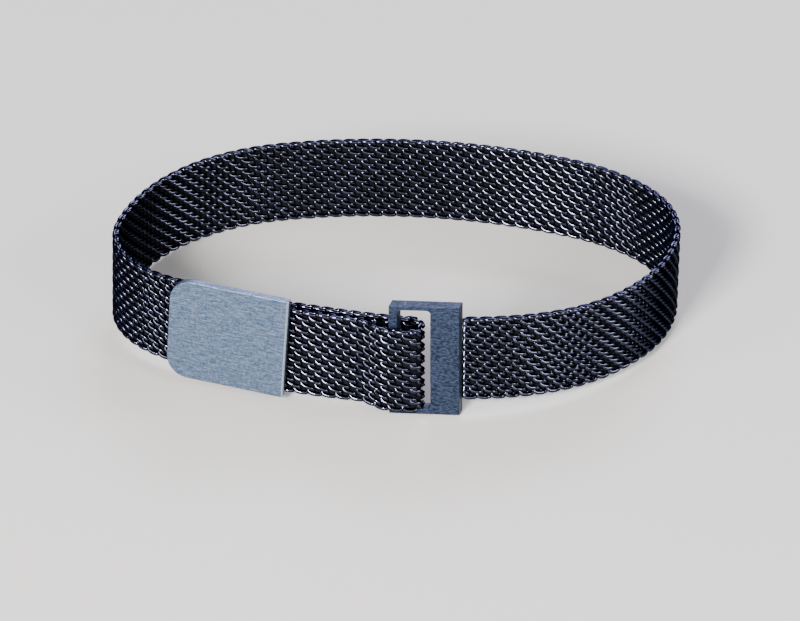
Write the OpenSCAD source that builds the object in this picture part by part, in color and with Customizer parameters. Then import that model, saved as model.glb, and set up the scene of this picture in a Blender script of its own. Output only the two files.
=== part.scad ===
// Mesh bracelet, closed with a magnet and lying on its side.
// A woven wire band leaves the wide bar of a loop buckle, runs once round the
// wrist, passes behind the buckle's thin leg, folds back round that leg and
// ends under a cover plate, whose magnet holds it to the band.

/* [Band] */
// Width of the woven band
band_w = 12; // [11:0.1:12.2]
// Thickness of the woven band
band_t = 1; // [0.8:0.05:1]
// Corner taken off the band's rims, where the wires turn round
rim_cut = 0.25; // [0.1:0.05:0.3]

/* [Loop buckle] */
// Width of the buckle, along the band
buckle_w = 8.75; // [8.6:0.05:8.9]
// Height of the buckle
buckle_h = 15.8; // [15:0.1:16.5]
// Thickness of the buckle
buckle_t = 1.5; // [1.2:0.1:1.5]
// Width of the bar that the band is fixed to
bar_w = 3.6; // [3:0.05:3.8]
// Width of the thin leg that the band folds round
leg_w = 1.05; // [0.8:0.05:1.1]
// Height of the rail over the slot
top_rail = 0.55; // [0.4:0.05:1]
// Height of the rail under the slot
bottom_rail = 0.75; // [0.4:0.05:0.8]
// Radius of the slot's corners
slot_r = 0.5; // [0.2:0.1:1]
// Slant of the buckle's two ends and of the slot's sides, in degrees
end_slant = 13.5; // [0:0.5:14]

/* [Cover plate] */
// Length of the plate, along the band
plate_l = 15.4; // [14:0.1:16]
// Height of the plate
plate_h = 13.8; // [13:0.1:14.5]
// Thickness of the plate
plate_t = 1; // [0.8:0.05:1]
// Radius of the plate's two round corners
plate_r = 2.8; // [1:0.1:4]
// Bevel along the plate's straight end
plate_bevel = 0.2; // [0.1:0.05:0.4]

/* [Magnet] */
// Length of the magnet, along the band
magnet_l = 10.5; // [6:0.5:11]
// Height of the magnet
magnet_h = 11; // [8:0.5:12]
// Thickness of the magnet
magnet_t = 1.15; // [0.6:0.05:1.15]

/* [Hidden] */
// Gap between pieces that lie against each other
gap = 0.08;
// Longest step along the band, and the largest turn in one step
step = 1.6;
step_turn = 12;

// The band's route in plan: where its fixed end starts and which way it heads
start = [8.51, -21.24];
start_heading = 0.3;
// Lower rim's height there, and how far the top leans right and back, in degrees
start_rim = [1.9, 0, 2.5];
// Arcs of the route, each tangent to the last. Radius and sweep, plus to the
// left and minus to the right, then rim height and leans at the arc's end.
arcs = [
    [31, 37.7, 1.1, 1.5, 1.5],     // front, right of the buckle
    [23, 40, 0.45, 0, 1.5],
    [15, 62, 0.05, 0, 0.5],        // right end
    [26, 18, 0.05, 0.5, 1],
    [71, 32, 0.15, 0.5, 0.5],      // back
    [26, 64, 0.6, 2, 1],
    [12, 63, 0.95, 2.5, 4],        // left end
    [18, 20, 1, 2, 5.5],
    [103, 8.5, 1, 1.5, 5],         // inner layer, behind the plate
    [103, 8.2, 1, 0, 3],           // inner layer, behind the buckle's leg
    [-1.45, -180, 1, 0, 3],        // fold round the leg
    [-40, -3.1, 1, 0, 3],          // outer layer
    [-4.5, -33, 1, 0.5, 4],
    [4.5, 32.3, 1, 1, 4.5],
    [-104, -6.7, 1, 2.5, 5.5]      // outer layer, up to the magnet
];

// Place of the buckle's lower right front corner, and its turn
buckle_at = [7.98, -22.45, 0.15];
buckle_turn = [-2.7, -0.5, -4];
// Place of the plate's lower right front corner, and its turn
plate_at = [-14.15, -20.01, 1.09];
plate_turn = [-5.8, 2.6, -16];
// How far the magnet lies from the plate's straight end and lower edge
magnet_in = [4, 1.4];

band_rgb = [0.06, 0.07, 0.11];
buckle_rgb = [0.27, 0.34, 0.47];
plate_rgb = [0.52, 0.6, 0.7];
magnet_rgb = [0.3, 0.31, 0.33];

// Start point and heading of arc i
function heading(i) = i == 0 ? start_heading : heading(i - 1) + arcs[i - 1][1];
function arc_point(from, h, r, turn) = from + abs(r) * sign(turn)
    * [sin(h + turn) - sin(h), cos(h) - cos(h + turn)];
function joint(i) = i == 0 ? start
    : arc_point(joint(i - 1), heading(i - 1), arcs[i - 1][0], arcs[i - 1][1]);
joints = [for (i = [0 : len(arcs) - 1]) joint(i)];

// Rim height and leans at the start of arc i, and between its two ends
function rim(i) = i == 0 ? start_rim : [arcs[i - 1][2], arcs[i - 1][3], arcs[i - 1][4]];
function ease(t) = t * t * (3 - 2 * t);
function rim_at(i, t) = rim(i) + (rim(i + 1) - rim(i)) * ease(t);

// One station: foot of the band's middle, unit vector to its side, unit vector up it
function unit(v) = v / norm(v);
function station(i, t) =
    let (h = heading(i) + arcs[i][1] * t)
    let (p = arc_point(joints[i], heading(i), arcs[i][0], arcs[i][1] * t))
    let (r = rim_at(i, t))
    let (up = unit([sin(r[1]), sin(r[2]), 1]))
    [[p[0], p[1], r[0]], unit(cross([cos(h), sin(h), 0], up)), up];
function steps(i) = ceil(max(abs(arcs[i][0] * arcs[i][1]) * PI / 180 / step,
    abs(arcs[i][1]) / step_turn));
// The first station is turned, so that the fixed end lies along the buckle's slanted side
first = station(0, 0);
end_turn = tan(end_slant - buckle_turn[2]);
stations = concat([[first[0], first[1] + cross(first[1], first[2]) * end_turn, first[2]]],
    [for (i = [0 : len(arcs) - 1]) for (k = [1 : steps(i)]) station(i, k / steps(i))]);

// The band's section, side and up, going round once
half = band_t / 2;
section = [
    [half, rim_cut], [half, band_w - rim_cut], [half - rim_cut, band_w],
    [rim_cut - half, band_w], [-half, band_w - rim_cut], [-half, rim_cut],
    [rim_cut - half, 0], [half - rim_cut, 0]
];

// A solid swept through the stations
module sweep(stations, section) {
    n = len(section);
    last = len(stations) - 1;
    points = [for (s = stations) for (c = section) s[0] + s[1] * c[0] + s[2] * c[1]];
    sides = [for (k = [0 : last - 1]) for (j = [0 : n - 1])
        let (a = k * n + j)
        let (b = k * n + (j + 1) % n)
        each [[a, b, b + n], [a, b + n, a + n]]];
    first_cap = [for (j = [n - 1 : -1 : 0]) j];
    last_cap = [for (j = [0 : n - 1]) last * n + j];
    polyhedron(points, concat(sides, [first_cap], [last_cap]));
}

// A flat outline, drawn as seen from the front, made t thick towards the back
module slab(t) {
    translate([0, t, 0])
    rotate([90, 0, 0])
    linear_extrude(t)
    children();
}

// A rectangle with round corners
module round_rectangle(w, h, r) {
    translate([r, 0]) square([w - 2 * r, h]);
    translate([0, r]) square([w, h - 2 * r]);
    for (x = [r, w - r], y = [r, h - r])
        translate([x, y]) circle(r, $fn = 48);
}

module mesh_band() {
    color(band_rgb)
    sweep(stations, section);
}

module loop_buckle() {
    slot_w = buckle_w - leg_w - bar_w;
    slant = buckle_t * tan(end_slant);
    color(buckle_rgb)
    translate(buckle_at)
    rotate(buckle_turn)
    difference() {
        linear_extrude(buckle_h)
        polygon([[0, 0], [slant, buckle_t], [slant - buckle_w, buckle_t], [-buckle_w, 0]]);
        translate([leg_w - buckle_w, 0, bottom_rail])
        rotate([0, 0, -end_slant])
        translate([0, -1, 0])
        slab(buckle_t + 2)
        round_rectangle(slot_w * cos(end_slant), buckle_h - bottom_rail - top_rail, slot_r);
    }
}

module magnet_plate() {
    color(plate_rgb)
    translate(plate_at)
    rotate(plate_turn)
    difference() {
        slab(plate_t)
        union() {
            translate([plate_r - plate_l, 0]) square([plate_l - plate_r, plate_h]);
            translate([-plate_l, 0]) round_rectangle(2 * plate_r + 1, plate_h, plate_r);
        }
        translate([-plate_bevel, 0, -1])
        rotate([0, 0, -45])
        translate([0, -2, 0])
        cube([2, 4, plate_h + 2]);
    }
}

module magnet() {
    color(magnet_rgb)
    translate(plate_at)
    rotate(plate_turn)
    translate([-magnet_in[0] - magnet_l, plate_t + gap, magnet_in[1]])
    slab(magnet_t)
    round_rectangle(magnet_l, magnet_h, 0.5);
}

mesh_band();
loop_buckle();
magnet_plate();
magnet();
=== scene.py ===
import math
import bmesh
import bpy
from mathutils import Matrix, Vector


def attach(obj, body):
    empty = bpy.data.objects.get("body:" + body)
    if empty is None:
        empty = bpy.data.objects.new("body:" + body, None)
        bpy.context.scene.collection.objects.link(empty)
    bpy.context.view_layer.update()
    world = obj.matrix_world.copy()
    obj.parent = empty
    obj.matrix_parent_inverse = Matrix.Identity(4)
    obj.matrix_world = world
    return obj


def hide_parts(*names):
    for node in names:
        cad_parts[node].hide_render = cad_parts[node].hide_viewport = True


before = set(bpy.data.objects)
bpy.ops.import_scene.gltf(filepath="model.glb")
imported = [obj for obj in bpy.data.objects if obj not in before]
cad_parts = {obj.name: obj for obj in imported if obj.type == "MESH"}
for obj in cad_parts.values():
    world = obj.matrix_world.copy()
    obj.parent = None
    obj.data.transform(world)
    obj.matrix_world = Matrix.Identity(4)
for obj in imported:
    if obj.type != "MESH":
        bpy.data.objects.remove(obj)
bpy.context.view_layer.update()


# Woven band. Flat left-handed coils of steel wire, seven turns each, stand side by
# side across the band. Each is screwed through its neighbours on both sides, half a
# turn out of step with them, and the ends are turned in along the rims.

# Sizes are in millimetres and angles in degrees. Times mm, a size is in metres.
mm = 0.001
band_w = 12.0
band_t = 1.0
wire_d = 0.54
coil_turns = 7
coil_pitch = 0.9
# How far a coil reaches each way along the band
coil_reach = 0.8
# Powers under 1 make a turn squarer than an ellipse, along the band and through it
reach_power = 0.9
depth_power = 0.85
# The wire climbs faster at its bends than on the band's two faces. It is this many
# half turns ahead of an even climb, at most.
bend_climb = 0.075
# The first and last quarter turns lie flat along the rims, and the rest climb
turn_rise = (band_w - wire_d) / (coil_turns - 0.5)
# Straight bits of wire in one turn
turn_steps = 18

# Where the fixed end starts in plan, and which way it heads
band_start = (8.51, -21.24)
band_heading = 0.3
# The lower rim's height there, and how far the top leans right and back
band_rim = (1.9, 0, 2.5)
# Slant of the fixed end, which lies along the side of the buckle's bar
band_end_slant = 17.5
# The gap that the band's solid leaves to the bar, and that the end wires close
bar_gap = 0.15
# Arcs of the route, each tangent to the last. Radius and sweep, plus to the left and
# minus to the right, then the lower rim's height and the top's leans at the arc's end.
band_arcs = [
    (31, 37.7, 1.1, 1.5, 1.5),      # front, right of the buckle
    (23, 40, 0.45, 0, 1.5),
    (15, 62, 0.05, 0, 0.5),         # right end
    (26, 18, 0.05, 0.5, 1),
    (71, 32, 0.15, 0.5, 0.5),       # back
    (26, 64, 0.6, 2, 1),
    (12, 63, 0.95, 2.5, 4),         # left end
    (18, 20, 1, 2, 5.5),
    (103, 8.5, 1, 1.5, 5),          # inner layer, behind the plate
    (103, 8.2, 1, 0, 3),            # inner layer, behind the buckle's leg
    (-1.45, -180, 1, 0, 3),         # fold round the leg
    (-40, -3.1, 1, 0, 3),           # outer layer
    (-4.5, -33, 1, 0.5, 4),
    (4.5, 32.3, 1, 1, 4.5),
    (-104, -6.7, 1, 2.5, 5.5),      # outer layer, up to the magnet
]


def arc_end(foot, heading, radius, sweep):
    """Where an arc in plan ends that starts at `foot`."""
    before, after = math.radians(heading), math.radians(heading + sweep)
    r = math.copysign(abs(radius), sweep)
    return (foot[0] + r * (math.sin(after) - math.sin(before)),
            foot[1] + r * (math.cos(before) - math.cos(after)))


band_route = []
foot, heading, rim, run = band_start, band_heading, band_rim, 0.0
for radius, sweep, *rim_end in band_arcs:
    length = math.radians(abs(radius * sweep))
    band_route.append((run, length, foot, heading, radius, sweep, rim, tuple(rim_end)))
    foot = arc_end(foot, heading, radius, sweep)
    heading, rim, run = heading + sweep, tuple(rim_end), run + length
band_length = run


def band_station(distance):
    """The foot of the band's middle at a distance along it, with the unit vectors that
    point along the band, to its right-hand side and up its width."""
    for run, length, foot, heading, radius, sweep, rim, rim_end in band_route:
        if distance <= run + length:
            break
    t = (distance - run) / length
    ease = t * t * (3 - 2 * t)
    height, right, back = (a + (b - a) * ease for a, b in zip(rim, rim_end))
    x, y = arc_end(foot, heading, radius, sweep * t)
    h = math.radians(heading + sweep * t)
    along = Vector((math.cos(h), math.sin(h), 0))
    up = Vector((math.sin(math.radians(right)), math.sin(math.radians(back)), 1)).normalized()
    side = along.cross(up).normalized()
    return Vector((x, y, height)), up.cross(side), side, up


def squared_off(value, power):
    """A sine or cosine raised to a power, with its sign kept."""
    return math.copysign(abs(value) ** power, value)


def add_coil(curve, distance, first):
    """One coil of wire, standing across the band. Its turns are counted in half turns
    from `first`, which is 0 or -1, so that neighbours are out of step."""
    middle = min(max(distance, 0), band_length)
    foot, along, side, up = band_station(middle)
    steps = turn_steps * coil_turns
    spline = curve.splines.new("POLY")
    spline.points.add(steps)
    low, high = wire_d / 2, band_w - wire_d / 2
    for k in range(steps + 1):
        angle = math.pi * (first + 2 * coil_turns * k / steps)
        u = coil_reach * squared_off(math.cos(angle), reach_power)
        v = (band_t - wire_d) / 2 * squared_off(math.sin(angle), depth_power)
        half_turns = angle / math.pi + bend_climb * math.sin(2 * angle)
        z = min(max(low + turn_rise * (half_turns - 0.5 - first) / 2, low), high)
        # No wire passes the side of the bar or the tail's end
        fixed_end = wire_d / 2 - bar_gap - math.tan(math.radians(band_end_slant)) * v
        tail_end = band_length - wire_d / 2
        u = min(max(distance + u, fixed_end), tail_end) - middle
        spline.points[k].co = (*((foot + along * u + side * v + up * z) * mm), 1)


# Marks left on the metal by drawing, blasting or brushing: noise with so many waves a
# metre each way, whose usual values, 0.38 to 0.62, are spread out from Low to High
marks = bpy.data.node_groups.new("metal_marks", "ShaderNodeTree")
for name, kind in (("Place", "NodeSocketVector"), ("Stretch", "NodeSocketVector"),
                   ("Low", "NodeSocketFloat"), ("High", "NodeSocketFloat")):
    marks.interface.new_socket(name, in_out="INPUT", socket_type=kind)
marks.interface.new_socket("Value", in_out="OUTPUT", socket_type="NodeSocketFloat")
marks_in = marks.nodes.new("NodeGroupInput")
marks_out = marks.nodes.new("NodeGroupOutput")
stretched = marks.nodes.new("ShaderNodeVectorMath")
stretched.operation = "MULTIPLY"
noise = marks.nodes.new("ShaderNodeTexNoise")
noise.inputs["Scale"].default_value = 1
noise.inputs["Detail"].default_value = 3
noise.inputs["Roughness"].default_value = 0.6
spread = marks.nodes.new("ShaderNodeMapRange")
spread.inputs["From Min"].default_value = 0.38
spread.inputs["From Max"].default_value = 0.62
marks.links.new(marks_in.outputs["Place"], stretched.inputs[0])
marks.links.new(marks_in.outputs["Stretch"], stretched.inputs[1])
marks.links.new(stretched.outputs["Vector"], noise.inputs["Vector"])
marks.links.new(noise.outputs["Fac"], spread.inputs["Value"])
marks.links.new(marks_in.outputs["Low"], spread.inputs["To Min"])
marks.links.new(marks_in.outputs["High"], spread.inputs["To Max"])
marks.links.new(spread.outputs["Result"], marks_out.inputs["Value"])

# Where a Mix node that is set to colours has its sockets, since their names repeat
mix_amount, mix_from, mix_to, mix_result = 0, 6, 7, 2


def new_finish(name, metallic):
    """A material with its node tree and shader, and the place that marks are read at."""
    material = bpy.data.materials.new(name)
    material.use_nodes = True
    tree = material.node_tree
    shader = tree.nodes["Principled BSDF"]
    shader.inputs["Metallic"].default_value = metallic
    place = tree.nodes.new("ShaderNodeTexCoord").outputs["Object"]
    return material, tree, shader, place


def add_marks(tree, place, waves, low=0.0, high=1.0):
    """Metal marks in a material, with so many waves a metre each way."""
    node = tree.nodes.new("ShaderNodeGroup")
    node.node_tree = marks
    node.inputs["Stretch"].default_value = waves
    node.inputs["Low"].default_value = low
    node.inputs["High"].default_value = high
    tree.links.new(place, node.inputs["Place"])
    return node.outputs["Value"]


def add_tint(tree, amount, dark, light):
    """A colour between a dark and a light one."""
    mix = tree.nodes.new("ShaderNodeMix")
    mix.data_type = "RGBA"
    mix.inputs[mix_from].default_value = (*dark, 1)
    mix.inputs[mix_to].default_value = (*light, 1)
    tree.links.new(amount, mix.inputs[mix_amount])
    return mix.outputs[mix_result]


def add_relief(tree, height, depth):
    """A bump of so many millimetres, wired to the shader's normal."""
    bump = tree.nodes.new("ShaderNodeBump")
    bump.inputs["Distance"].default_value = depth * mm
    tree.links.new(height, bump.inputs["Height"])
    tree.links.new(bump.outputs["Normal"], tree.nodes["Principled BSDF"].inputs["Normal"])


# Painted shade inside the weave: a thin near-black strip that stands for the shade
# between the wires, stopping short of the band's ends and a wire's thickness short of
# its rims
strip_t = 0.04
strip_inset = 0.3
strip_steps = 400
# How far its right-hand face lies to the left of the band's middle
strip_shift = 0.02

painted_shade_finish, tree, shader, place = new_finish("painted_shade_inside", metallic=0.0)
shade = add_marks(tree, place, waves=(900, 900, 900))
# Near-black painted shade, a little uneven
painted_shade_colour = add_tint(tree, shade, dark=(0.0008, 0.0008, 0.0012), light=(0.002, 0.002, 0.003))
tree.links.new(painted_shade_colour, shader.inputs["Base Color"])
shader.inputs["Roughness"].default_value = 0.9
shader.inputs["Specular IOR Level"].default_value = 0.05

ribbon = bmesh.new()
bmesh.ops.create_grid(ribbon, x_segments=strip_steps, y_segments=1, size=1)
for vert in ribbon.verts:
    distance = strip_inset + (band_length - 2 * strip_inset) * (vert.co.x + 1) / 2
    height = band_w / 2 + (band_w / 2 - wire_d) * vert.co.y
    foot, along, side, up = band_station(distance)
    vert.co = (foot - side * strip_shift + up * height) * mm
ribbon_mesh = bpy.data.meshes.new("band_painted_shade")
ribbon.to_mesh(ribbon_mesh)
ribbon.free()
ribbon_mesh.materials.append(painted_shade_finish)
strip = bpy.data.objects.new("band_painted_shade", ribbon_mesh)
bpy.context.scene.collection.objects.link(strip)
wall = strip.modifiers.new("strip thickness", "SOLIDIFY")
wall.thickness = strip_t * mm
wall.offset = -1
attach(strip, "root")
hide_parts("mesh_band")

# The wire: drawn steel with a glossy blue-black coat
wire, tree, shader, place = new_finish("woven_steel_wire", metallic=1.0)
patches = add_marks(tree, place, waves=(250, 250, 250))
coat = add_tint(tree, patches, dark=(0.023, 0.024, 0.034), light=(0.033, 0.035, 0.053))
gloss = add_marks(tree, place, waves=(1500, 1500, 1500), low=0.12, high=0.17)
tree.links.new(coat, shader.inputs["Base Color"])
tree.links.new(gloss, shader.inputs["Roughness"])
shader.inputs["Specular Tint"].default_value = (0.15, 0.15, 0.2, 1)

# The coils, of wire with eight sides, in so many lengths of the band
coil_curves = 5
coil_count = round((band_length - wire_d) / coil_pitch)
coil_step = (band_length - wire_d) / coil_count
for part in range(coil_curves):
    curve = bpy.data.curves.new("band_weave_%d" % (part + 1), "CURVE")
    curve.dimensions = "3D"
    curve.bevel_depth = wire_d / 2 * mm
    curve.bevel_resolution = 2
    curve.use_fill_caps = True
    curve.materials.append(wire)
    for i in range(coil_count * part // coil_curves, coil_count * (part + 1) // coil_curves):
        add_coil(curve, wire_d / 2 + coil_step * (i + 0.5), first=-(i % 2))
    if part == 0:
        # One more coil fills the fixed end, its outer bends pressed against the bar
        add_coil(curve, wire_d / 2 - coil_step / 2, first=-1)
    weave = bpy.data.objects.new(curve.name, curve)
    bpy.context.scene.collection.objects.link(weave)
    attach(weave, "root")
    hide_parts("mesh_band")


# Loop buckle. One flat steel loop with a wide bar, to which the band's fixed end is
# joined, and a thin leg that the tail folds round. It is cut out, tumbled until its
# edges are soft, blasted and coated slate blue.

# Width of its softened edges
buckle_edge = 0.14


def softened(node, name, width):
    """A copy of a CAD node with its flats made whole and its sharp edges softened."""
    flat, sharp = math.radians(1), math.radians(30)
    shape = bmesh.new()
    shape.from_mesh(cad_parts[node].data)
    bmesh.ops.remove_doubles(shape, verts=shape.verts, dist=0.001 * mm)
    bmesh.ops.dissolve_limit(shape, angle_limit=flat, verts=shape.verts, edges=shape.edges)
    sharp_edges = [edge for edge in shape.edges if edge.calc_face_angle(0) > sharp]
    bmesh.ops.bevel(shape, geom=sharp_edges, offset=width * mm, segments=3, profile=0.5,
                    affect="EDGES", clamp_overlap=True, material=-1)
    for face in shape.faces:
        face.smooth = True
    mesh = bpy.data.meshes.new(name)
    shape.to_mesh(mesh)
    shape.free()
    piece = bpy.data.objects.new(name, mesh)
    bpy.context.scene.collection.objects.link(piece)
    normals = piece.modifiers.new("weighted normals", "WEIGHTED_NORMAL")
    normals.keep_sharp = True
    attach(piece, "root")
    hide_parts(node)
    return piece


blasted, tree, shader, place = new_finish("blasted_blue_steel", metallic=0.85)
grain = add_marks(tree, place, waves=(2200, 2600, 3800))
coat = add_tint(tree, grain, dark=(0.003, 0.007, 0.016), light=(0.022, 0.031, 0.058))
gloss = add_marks(tree, place, waves=(900, 900, 900), low=0.42, high=0.55)
tree.links.new(coat, shader.inputs["Base Color"])
tree.links.new(gloss, shader.inputs["Roughness"])
add_relief(tree, grain, 0.028)

buckle = softened("loop_buckle", "blasted_loop_buckle", buckle_edge)
buckle.data.materials.append(blasted)


# Cover plate. A thin steel plate over the tail's end, brushed both ways and coated a
# lighter blue-grey, with two round corners and a painted highlight on the bevel at its
# straight end.

# Place of the plate's lower right front corner, and its turn
plate_at = (-14.15 * mm, -20.01 * mm, 1.09 * mm)
plate_turn = [math.radians(angle) for angle in (-5.8, 2.6, -16)]
# Width of its softened edges
plate_edge = 0.08

# The marks are read along the plate's own length, thickness and height
brushed, tree, shader, place = new_finish("brushed_blue_steel", metallic=0.9)
on_plate = tree.nodes.new("ShaderNodeMapping")
on_plate.vector_type = "TEXTURE"
on_plate.inputs["Location"].default_value = plate_at
on_plate.inputs["Rotation"].default_value = plate_turn
tree.links.new(place, on_plate.inputs["Vector"])
place = on_plate.outputs["Vector"]

# Brushing is the mean of the marks that run along the plate and those that run up it
brushings = tree.nodes.new("ShaderNodeMath")
brushings.operation = "ADD"
tree.links.new(add_marks(tree, place, waves=(700, 3000, 3800)), brushings.inputs[0])
tree.links.new(add_marks(tree, place, waves=(2800, 3000, 2200)), brushings.inputs[1])
halved = tree.nodes.new("ShaderNodeMath")
halved.operation = "MULTIPLY"
halved.inputs[1].default_value = 0.5
tree.links.new(brushings.outputs["Value"], halved.inputs[0])
brushing = halved.outputs["Value"]
coat = add_tint(tree, brushing, dark=(0.026, 0.047, 0.088), light=(0.092, 0.117, 0.16))

# A painted highlight along the bevel: a light steel colour on the bevel's face, where
# the plate's own X less Y is -0.2 mm
split = tree.nodes.new("ShaderNodeSeparateXYZ")
across_bevel = tree.nodes.new("ShaderNodeMath")
across_bevel.operation = "SUBTRACT"
bevel_highlight_mask = tree.nodes.new("ShaderNodeMapRange")
bevel_highlight_mask.inputs["From Min"].default_value = -0.27 * mm
bevel_highlight_mask.inputs["From Max"].default_value = -0.21 * mm
painted_highlight_mix = tree.nodes.new("ShaderNodeMix")
painted_highlight_mix.data_type = "RGBA"
# Colour of the painted highlight on the bevel
painted_highlight_mix.inputs[mix_to].default_value = (0.24, 0.28, 0.34, 1)
tree.links.new(place, split.inputs["Vector"])
tree.links.new(split.outputs["X"], across_bevel.inputs[0])
tree.links.new(split.outputs["Y"], across_bevel.inputs[1])
tree.links.new(across_bevel.outputs["Value"], bevel_highlight_mask.inputs["Value"])
tree.links.new(bevel_highlight_mask.outputs["Result"], painted_highlight_mix.inputs[mix_amount])
tree.links.new(coat, painted_highlight_mix.inputs[mix_from])

gloss = add_marks(tree, place, waves=(400, 400, 2500), low=0.36, high=0.5)
tree.links.new(painted_highlight_mix.outputs[mix_result], shader.inputs["Base Color"])
tree.links.new(gloss, shader.inputs["Roughness"])
add_relief(tree, brushing, 0.03)

plate = softened("magnet_plate", "brushed_cover_plate", plate_edge)
plate.data.materials.append(brushed)


# Magnet. One plain slab with a dark coat and slightly rounded edges, glued behind the
# plate, where it grips the band.

# Width of its softened edges
magnet_edge = 0.1

dark, tree, shader, place = new_finish("dark_magnet", metallic=0.4)
grain = add_marks(tree, place, waves=(1500, 1500, 1500))
coat = add_tint(tree, grain, dark=(0.035, 0.036, 0.042), light=(0.075, 0.075, 0.085))
gloss = add_marks(tree, place, waves=(500, 500, 500), low=0.38, high=0.55)
tree.links.new(coat, shader.inputs["Base Color"])
tree.links.new(gloss, shader.inputs["Roughness"])
add_relief(tree, grain, 0.01)

magnet = softened("magnet", "dark_magnet_slab", magnet_edge)
magnet.data.materials.append(dark)


# Floor. A plain pale sheet that the bracelet lies on, 3 m wide, so that its edges stay
# out of the picture.
sheet = bmesh.new()
bmesh.ops.create_grid(sheet, x_segments=1, y_segments=1, size=1.5)
floor_mesh = bpy.data.meshes.new("floor")
sheet.to_mesh(floor_mesh)
sheet.free()
floor = bpy.data.objects.new("floor", floor_mesh)
bpy.context.scene.collection.objects.link(floor)
pale = bpy.data.materials.new("pale_floor")
pale.use_nodes = True
shader = pale.node_tree.nodes["Principled BSDF"]
shader.inputs["Base Color"].default_value = (0.27, 0.258, 0.242, 1)
shader.inputs["Roughness"].default_value = 0.7
floor_mesh.materials.append(pale)


# Light. A dim, cool room with six soft lamps. The front key makes the wires' brightest
# glints, and the low fill and the far right key light the inside of the loop.
world = bpy.data.worlds.new("studio")
world.use_nodes = True
room = world.node_tree.nodes["Background"]
room.inputs["Color"].default_value = (0.5, 0.62, 1, 1)
room.inputs["Strength"].default_value = 0.3
bpy.context.scene.world = world


def lamp(name, place, size, power, colour=(1, 1, 1)):
    """A flat lamp that faces the bracelet: place and size in metres, power in watts."""
    data = bpy.data.lights.new(name, "AREA")
    data.shape = "RECTANGLE"
    data.size, data.size_y = size
    data.energy = power
    data.color = colour
    light = bpy.data.objects.new(name, data)
    light.location = place
    light.rotation_euler = (-Vector(place)).to_track_quat("-Z", "Y").to_euler()
    bpy.context.scene.collection.objects.link(light)


lamp("left key", (-0.6, -0.32, 0.42), size=(0.2, 0.2), power=6)
lamp("front key", (-0.32, -0.6, 0.42), size=(0.2, 0.2), power=39)
lamp("right key", (0.52, -0.46, 0.4), size=(0.2, 0.2), power=7)
lamp("far right key", (0.74, 0.02, 0.34), size=(0.25, 0.25), power=6)
lamp("low fill", (0.07, -0.81, 0.25), size=(0.5, 0.25), power=4)
lamp("back", (0.2, 0.7, 0.6), size=(0.5, 0.3), power=15, colour=(0.85, 0.82, 1))


# Camera. It looks at the front of the loop from the photograph's angle, 35 degrees
# above the floor, through a long lens.
camera_rise = math.radians(35)
camera_distance = 549 * mm
aim_x, aim_y = 0.6 * mm, 0.63 * mm
camera_data = bpy.data.cameras.new("camera")
camera_data.lens = 190.7
camera_data.sensor_width = 36
camera = bpy.data.objects.new("camera", camera_data)
camera.location = (aim_x, aim_y - camera_distance * math.cos(camera_rise),
                   camera_distance * math.sin(camera_rise))
camera.rotation_euler = (math.pi / 2 - camera_rise, 0, 0)
bpy.context.scene.collection.objects.link(camera)
bpy.context.scene.camera = camera
